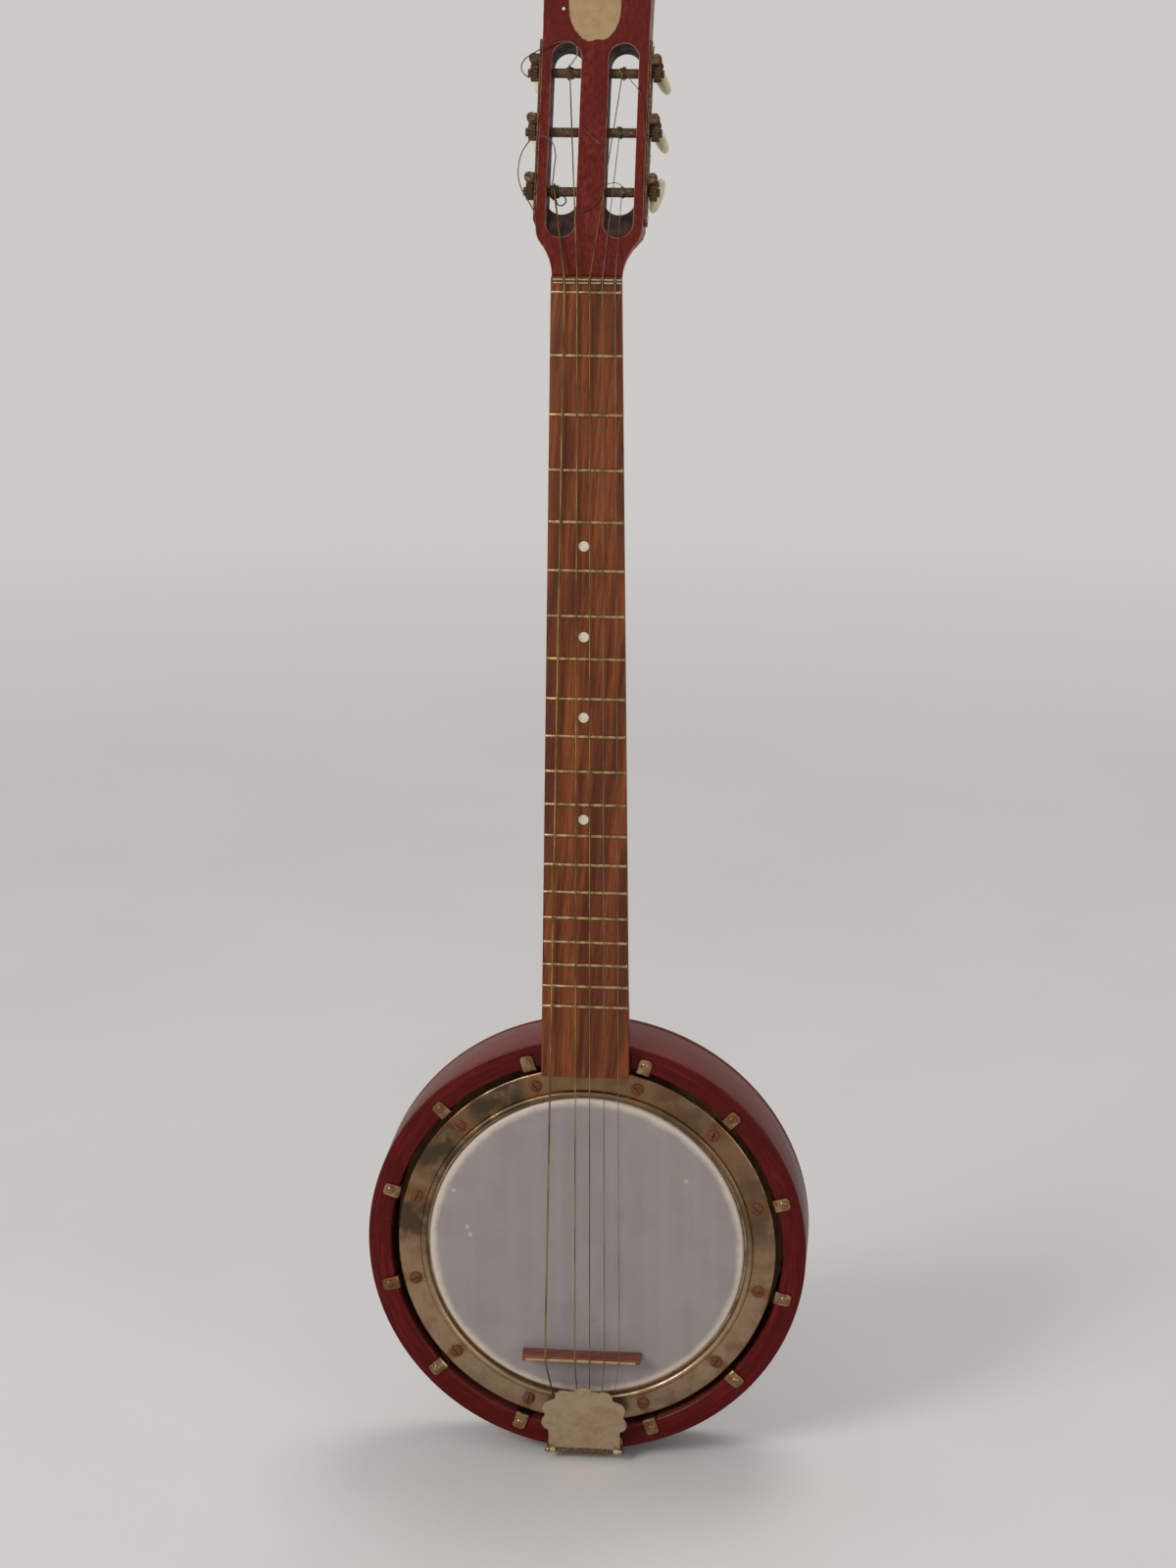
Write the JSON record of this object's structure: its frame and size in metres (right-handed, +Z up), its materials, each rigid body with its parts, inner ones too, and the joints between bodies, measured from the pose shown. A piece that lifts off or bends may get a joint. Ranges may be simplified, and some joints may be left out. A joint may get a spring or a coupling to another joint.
{
  "type": "guitar-banjo",
  "caption": "Guitar-banjo with a drum pot, tension ring, fretted neck, slotted headstock with worm-gear tuners and a hinged tailpiece cover.",
  "frame": {"origin": "middle of the zero fret on the fingerboard's face, where a hanger holds the neck", "axes": "+Z up the neck to the headstock, -Y the playing side, +X to the right as seen from the playing side"},
  "size_m": [0.2736, 0.1022, 0.9213],
  "materials": {
    "cherry_wood": "glossy cherry-red stain",
    "rosewood": "oiled, open grain",
    "bridge_wood": "stained, satin",
    "bare_wood": "bare, dusty",
    "nickel": "nickel plate gone dull and yellow",
    "rusted_steel": "brown with rust",
    "head_plastic": "coated, matte",
    "ivory_plastic": "aged ivory colour",
    "bone": "worn bone strip",
    "wound_brass": "fine wound wire",
    "plain_steel": "plain drawn wire"
  },
  "bodies": {
    "banjo": {"anchor_ring": "bare_wood", "back_plate": "cherry_wood", "bridge": "bridge_wood", "bridge_saddle": "bone", "drum_head": "head_plastic", "fingerboard": "rosewood", "flesh_hoop": "nickel", "heel_bolt": "rusted_steel", "inner_rim": "bare_wood", "neck": "cherry_wood", "nut": "nickel", "outer_rim": "cherry_wood", "rim_clip_01": "nickel", "rim_clip_02": "nickel", "rim_clip_03": "nickel", "rim_clip_04": "nickel", "rim_clip_05": "nickel", "rim_clip_06": "nickel", "rim_clip_07": "nickel", "rim_clip_08": "nickel", "rim_clip_09": "nickel", "rim_clip_10": "nickel", "rim_clip_11": "nickel", "rim_clip_12": "nickel", "string_1": "wound_brass", "string_2": "wound_brass", "string_3": "wound_brass", "string_4": "plain_steel", "string_5": "plain_steel", "tailpiece_base": "nickel", "tailpiece_pin": "rusted_steel", "tailpiece_screw": "rusted_steel", "tension_ring": "nickel", "tuner_plate_left": "nickel", "tuner_plate_right": "nickel"},
    "left_1_knob": {"worm_left_1": "rusted_steel", "button_left_1": "ivory_plastic"},
    "left_1_winder": {"roller_left_1": "rusted_steel", "gear_left_1": "rusted_steel"},
    "left_2_knob": {"worm_left_2": "rusted_steel", "button_left_2": "ivory_plastic"},
    "left_2_winder": {"roller_left_2": "rusted_steel", "gear_left_2": "rusted_steel"},
    "left_3_knob": {"worm_left_3": "rusted_steel", "button_left_3": "ivory_plastic"},
    "left_3_winder": {"roller_left_3": "rusted_steel", "gear_left_3": "rusted_steel"},
    "right_1_knob": {"worm_right_1": "rusted_steel", "button_right_1": "ivory_plastic"},
    "right_1_winder": {"roller_right_1": "rusted_steel", "gear_right_1": "rusted_steel"},
    "right_2_knob": {"worm_right_2": "rusted_steel", "button_right_2": "ivory_plastic"},
    "right_2_winder": {"roller_right_2": "rusted_steel", "gear_right_2": "rusted_steel"},
    "right_3_knob": {"worm_right_3": "rusted_steel", "button_right_3": "ivory_plastic"},
    "right_3_winder": {"roller_right_3": "rusted_steel", "gear_right_3": "rusted_steel"},
    "cover": {"tailpiece_cover": "nickel"}
  },
  "joints": [
    {"name": "left_1_knob_turn", "type": "hinge", "parent": "banjo", "child": "left_1_knob", "pos_m": [-0.0358, 0.03424, 0.05981], "axis": [0, 0.9272, -0.3746], "continuous": true},
    {"name": "left_1_winder_turn", "type": "hinge", "parent": "banjo", "child": "left_1_winder", "pos_m": [-0.0358, 0.03179, 0.05373], "axis": [1, 0, 0], "continuous": true},
    {"name": "left_2_knob_turn", "type": "hinge", "parent": "banjo", "child": "left_2_knob", "pos_m": [-0.0358, 0.0475, 0.09264], "axis": [0, 0.9272, -0.3746], "continuous": true},
    {"name": "left_2_winder_turn", "type": "hinge", "parent": "banjo", "child": "left_2_winder", "pos_m": [-0.0358, 0.04505, 0.08656], "axis": [1, 0, 0], "continuous": true},
    {"name": "left_3_knob_turn", "type": "hinge", "parent": "banjo", "child": "left_3_knob", "pos_m": [-0.0358, 0.06076, 0.12546], "axis": [0, 0.9272, -0.3746], "continuous": true},
    {"name": "left_3_winder_turn", "type": "hinge", "parent": "banjo", "child": "left_3_winder", "pos_m": [-0.0358, 0.05831, 0.11938], "axis": [1, 0, 0], "continuous": true},
    {"name": "right_1_knob_turn", "type": "hinge", "parent": "banjo", "child": "right_1_knob", "pos_m": [0.0358, 0.03424, 0.05981], "axis": [0, 0.9272, -0.3746], "continuous": true},
    {"name": "right_1_winder_turn", "type": "hinge", "parent": "banjo", "child": "right_1_winder", "pos_m": [0.0358, 0.03179, 0.05373], "axis": [1, 0, 0], "continuous": true},
    {"name": "right_2_knob_turn", "type": "hinge", "parent": "banjo", "child": "right_2_knob", "pos_m": [0.0358, 0.0475, 0.09264], "axis": [0, 0.9272, -0.3746], "continuous": true},
    {"name": "right_2_winder_turn", "type": "hinge", "parent": "banjo", "child": "right_2_winder", "pos_m": [0.0358, 0.04505, 0.08656], "axis": [1, 0, 0], "continuous": true},
    {"name": "right_3_knob_turn", "type": "hinge", "parent": "banjo", "child": "right_3_knob", "pos_m": [0.0358, 0.06076, 0.12546], "axis": [0, 0.9272, -0.3746], "continuous": true},
    {"name": "right_3_winder_turn", "type": "hinge", "parent": "banjo", "child": "right_3_winder", "pos_m": [0.0358, 0.05831, 0.11938], "axis": [1, 0, 0], "continuous": true},
    {"name": "cover_hinge", "type": "hinge", "parent": "banjo", "child": "cover", "pos_m": [0, 0.001, -0.72909], "axis": [1, 0, 0], "range_deg": [0, 110]}
  ],
  "couplings": [
    {"joint": "left_1_winder_turn", "follows": "left_1_knob_turn", "ratio": 0.071429},
    {"joint": "left_2_winder_turn", "follows": "left_2_knob_turn", "ratio": 0.071429},
    {"joint": "left_3_winder_turn", "follows": "left_3_knob_turn", "ratio": 0.071429},
    {"joint": "right_1_winder_turn", "follows": "right_1_knob_turn", "ratio": 0.071429},
    {"joint": "right_2_winder_turn", "follows": "right_2_knob_turn", "ratio": 0.071429},
    {"joint": "right_3_winder_turn", "follows": "right_3_knob_turn", "ratio": 0.071429}
  ]
}
